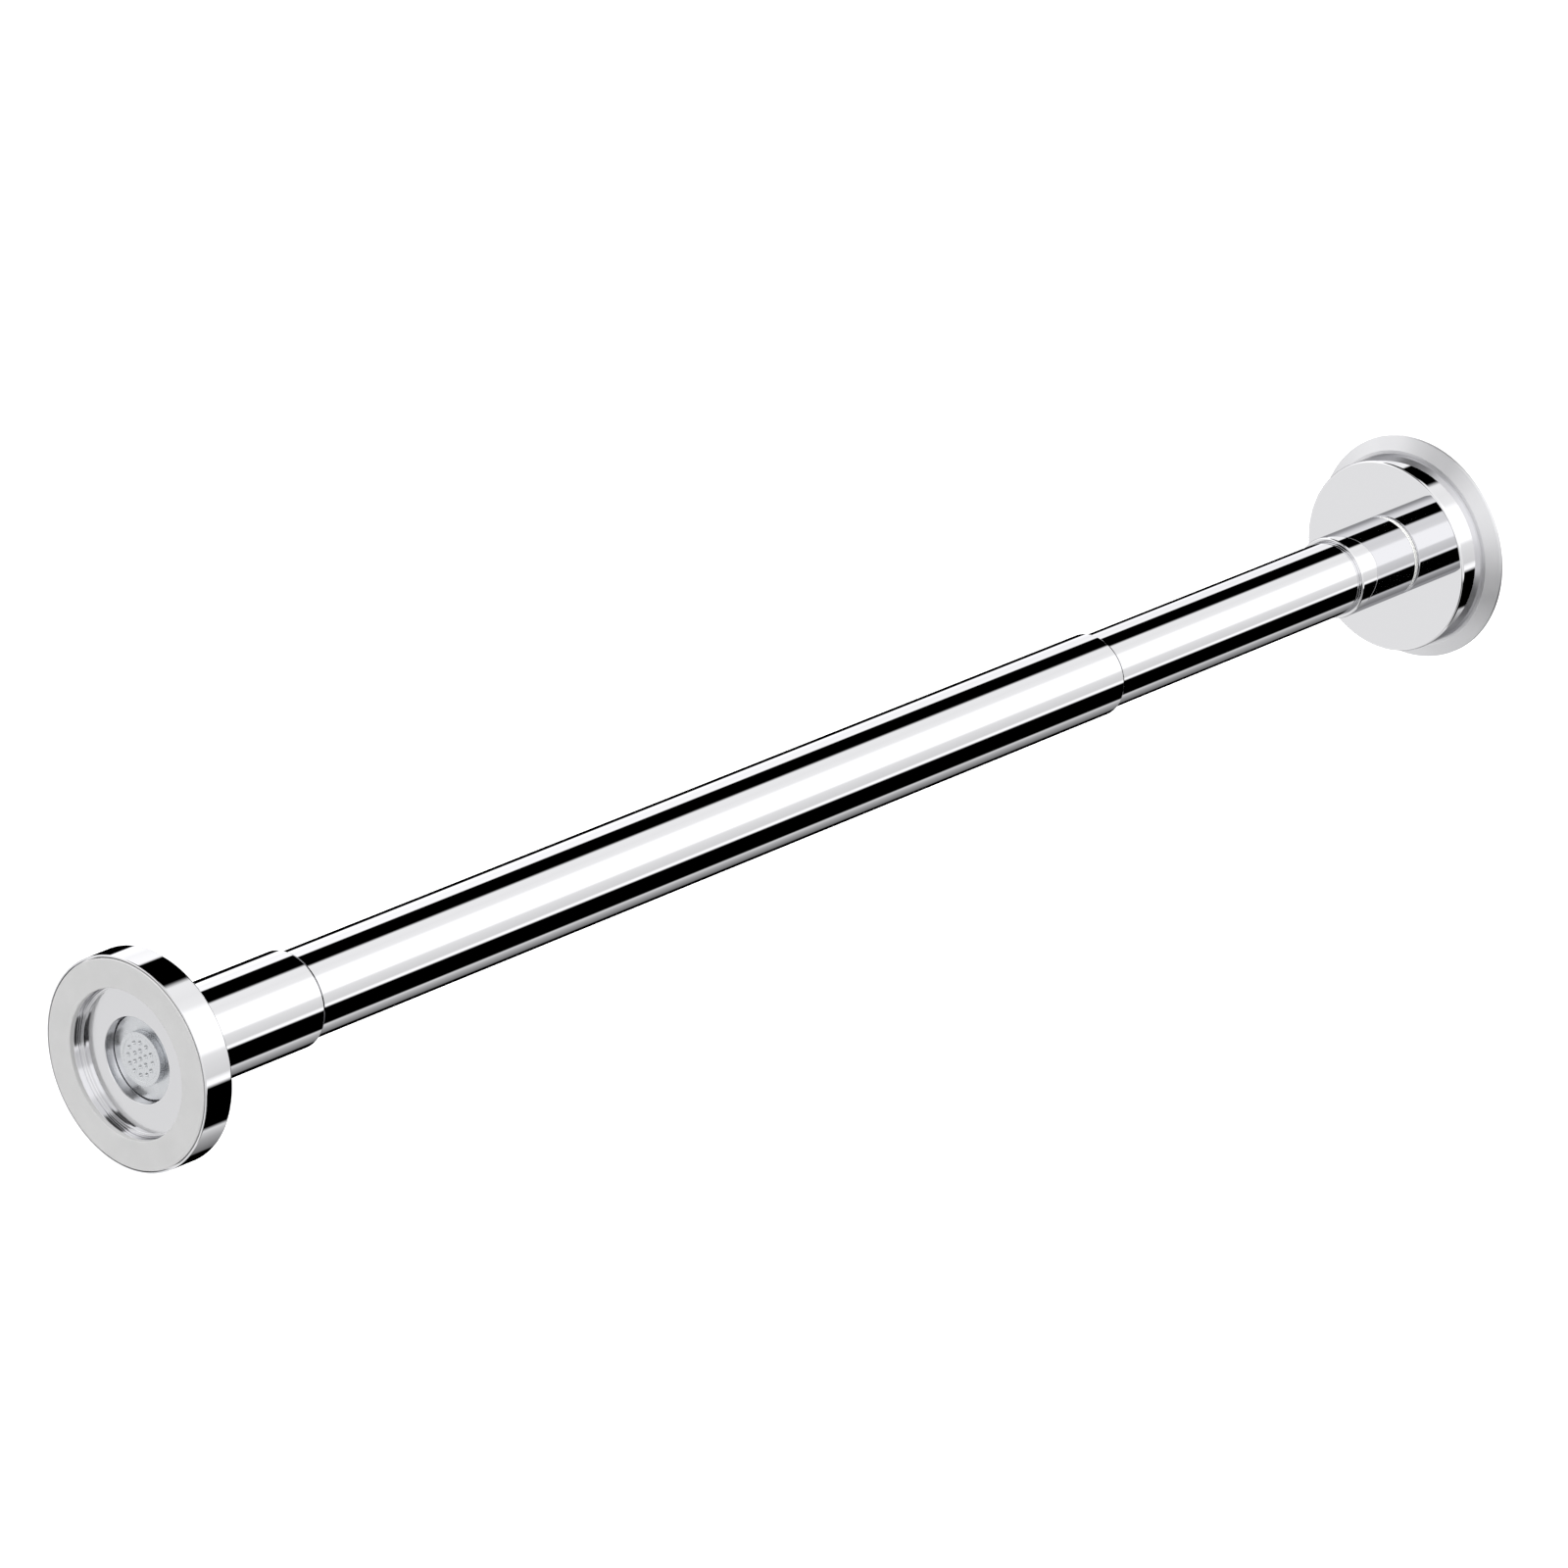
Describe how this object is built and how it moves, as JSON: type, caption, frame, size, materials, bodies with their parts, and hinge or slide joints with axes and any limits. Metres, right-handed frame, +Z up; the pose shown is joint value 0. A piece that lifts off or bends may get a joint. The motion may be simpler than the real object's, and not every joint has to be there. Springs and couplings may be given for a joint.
{
  "type": "telescopic window security bar",
  "caption": "Telescopic chrome pressure bar that wedges across a window opening without drilling, tightened by a threaded collar and locked by a twist cam.",
  "frame": {"origin": "centre of the left foot's face, on the left wall and on the bar's axis", "axes": "+X along the bar from the left wall to the right wall, +Z up"},
  "size_m": [0.55, 0.07, 0.07],
  "materials": {
    "chrome": "mirror polished",
    "satin_chrome": "fine satin",
    "grip_rubber": "smooth matt, pale grey",
    "zinc_plated_steel": "bright zinc plate",
    "brass": "machined",
    "black_nylon": "moulded",
    "white_acetal": "moulded",
    "black_rubber": "moulded"
  },
  "bodies": {
    "left_foot": {"left_flange": "chrome", "left_grip_ring": "grip_rubber", "left_hub_disc": "satin_chrome", "left_foot_washer": "zinc_plated_steel", "left_foot_screw": "zinc_plated_steel", "jack_stem": "zinc_plated_steel"},
    "outer": {"outer_tube": "chrome", "left_end_plug": "black_nylon", "plug_pin_1": "zinc_plated_steel", "plug_pin_2": "zinc_plated_steel", "thrust_washer": "white_acetal", "mouth_liner": "white_acetal"},
    "left_collar": {"left_collar": "chrome", "collar_nut": "brass", "collar_grub_screw": "zinc_plated_steel"},
    "right_foot": {"right_flange": "chrome", "right_base_plate": "satin_chrome", "right_grip_pad": "grip_rubber", "right_spigot": "zinc_plated_steel", "spigot_circlip": "zinc_plated_steel", "right_thrust_washer": "white_acetal", "spigot_screw": "zinc_plated_steel", "base_screw_1": "zinc_plated_steel", "base_screw_2": "zinc_plated_steel", "base_screw_3": "zinc_plated_steel"},
    "inner": {"inner_tube": "chrome", "right_collar": "chrome", "right_collar_screw": "zinc_plated_steel", "right_bearing_bush": "white_acetal", "lock_pivot_plug": "black_nylon", "pivot_cross_pin": "zinc_plated_steel", "cam_washer": "zinc_plated_steel", "cam_screw": "zinc_plated_steel"},
    "lock_cam": {"lock_cam": "black_nylon", "cam_ring": "black_rubber"}
  },
  "joints": [
    {"name": "jack_slide", "type": "slide", "parent": "left_foot", "child": "outer", "axis": [1, 0, 0], "range_m": [0, 0.012]},
    {"name": "collar_spin", "type": "hinge", "parent": "outer", "child": "left_collar", "pos_m": [0.03, 0, 0], "axis": [1, 0, 0], "range_deg": [0, 2880]},
    {"name": "telescope", "type": "slide", "parent": "outer", "child": "right_foot", "axis": [1, 0, 0], "range_m": [-0.11, 0.12]},
    {"name": "inner_twist", "type": "hinge", "parent": "right_foot", "child": "inner", "pos_m": [0.52, 0, 0], "axis": [1, 0, 0], "range_deg": [0, 75]},
    {"name": "lock_cam_turn", "type": "hinge", "parent": "inner", "child": "lock_cam", "pos_m": [0.2, 0, 0.0008], "axis": [1, 0, 0], "range_deg": [-75, 0]}
  ],
  "couplings": [
    {"joint": "collar_spin", "follows": "jack_slide", "rad_per_m": 4188.8},
    {"joint": "lock_cam_turn", "follows": "inner_twist", "ratio": -1}
  ]
}
